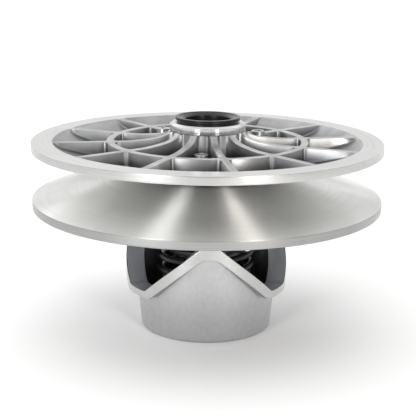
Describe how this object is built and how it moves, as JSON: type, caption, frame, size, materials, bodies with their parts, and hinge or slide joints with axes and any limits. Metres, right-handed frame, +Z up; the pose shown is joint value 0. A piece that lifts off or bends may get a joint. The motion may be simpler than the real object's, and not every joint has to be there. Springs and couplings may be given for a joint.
{
  "type": "driven CVT clutch",
  "caption": "Driven pulley of a rubber-belt variable drive: ribbed fixed sheave on a hollow shaft, sliding and twisting sheave, cup cam with three roof-shaped ramps and a return spring.",
  "frame": {"origin": "centre of the cam cup's bottom face, on the shaft's axis", "axes": "+Z up the shaft towards the fixed sheave's collar; -Y through the cam's front peak"},
  "size_m": [0.273, 0.273, 0.168],
  "materials": {
    "cast_aluminium": "die-cast surface with a machined rim and collar",
    "turned_aluminium": "finely turned belt face, die-cast back",
    "brushed_aluminium": "satin, with vertical and circular brush marks",
    "black_steel": "black oxide, oiled",
    "black_spring": "semi-gloss black coating",
    "spring_steel": "dark phosphated spring steel",
    "key_steel": "ground steel",
    "screw_steel": "bright zinc plated",
    "bronze": "sintered bronze, oiled",
    "nylon": "natural nylon",
    "roller_polymer": "black filled nylon",
    "seal_rubber": "matt nitrile rubber"
  },
  "bodies": {
    "shaft_and_cam": {"fixed_sheave": "cast_aluminium", "drive_shaft": "black_steel", "bore_o_ring": "seal_rubber", "stop_washer": "nylon", "cam_cup": "brushed_aluminium", "cam_keys": "key_steel", "cam_washer": "key_steel", "cam_snap_ring": "spring_steel", "spring_seat_lower": "black_steel", "spring": "black_spring"},
    "spring_cap": {"spring_seat_upper": "black_steel", "thrust_washer": "nylon"},
    "moving_half": {"moving_sheave": "turned_aluminium", "bush_upper": "bronze", "bush_lower": "bronze", "wiper_upper": "seal_rubber", "wiper_lower": "seal_rubber", "bush_clip": "spring_steel", "roller_pin_a": "key_steel", "roller_pin_b": "key_steel", "roller_pin_c": "key_steel", "roller_shims_a": "key_steel", "roller_shims_b": "key_steel", "roller_shims_c": "key_steel", "keeper_a": "black_steel", "keeper_b": "black_steel", "keeper_c": "black_steel", "keeper_screw_a": "screw_steel", "keeper_screw_b": "screw_steel", "keeper_screw_c": "screw_steel"},
    "front_roller": {"roller_a": "roller_polymer", "roller_bush_a": "bronze"},
    "right_roller": {"roller_b": "roller_polymer", "roller_bush_b": "bronze"},
    "left_roller": {"roller_c": "roller_polymer", "roller_bush_c": "bronze"}
  },
  "joints": [
    {"name": "shift", "type": "slide", "parent": "shaft_and_cam", "child": "spring_cap", "axis": [0, 0, -1], "range_m": [0, 0.028], "stiffness_N_per_m": 5000, "springref_m": -0.04, "deforming": ["spring"]},
    {"name": "twist", "type": "hinge", "parent": "spring_cap", "child": "moving_half", "pos_m": [0, 0, 0.11], "axis": [0, 0, 1], "range_deg": [0, 30.92]},
    {"name": "front_roller_spin", "type": "hinge", "parent": "moving_half", "child": "front_roller", "pos_m": [0.01282, -0.05554, 0.08432], "axis": [-0.225, 0.9744, 0], "range_deg": [0, 280.41]},
    {"name": "right_roller_spin", "type": "hinge", "parent": "moving_half", "child": "right_roller", "pos_m": [0.04169, 0.03887, 0.08432], "axis": [-0.7314, -0.682, 0], "range_deg": [0, 280.41]},
    {"name": "left_roller_spin", "type": "hinge", "parent": "moving_half", "child": "left_roller", "pos_m": [-0.05451, 0.01666, 0.08432], "axis": [0.9563, -0.2924, 0], "range_deg": [0, 280.41]}
  ],
  "couplings": [
    {"joint": "twist", "follows": "shift", "rad_per_m": 19.264},
    {"joint": "front_roller_spin", "follows": "shift", "rad_per_m": 174.73},
    {"joint": "right_roller_spin", "follows": "shift", "rad_per_m": 174.73},
    {"joint": "left_roller_spin", "follows": "shift", "rad_per_m": 174.73}
  ]
}
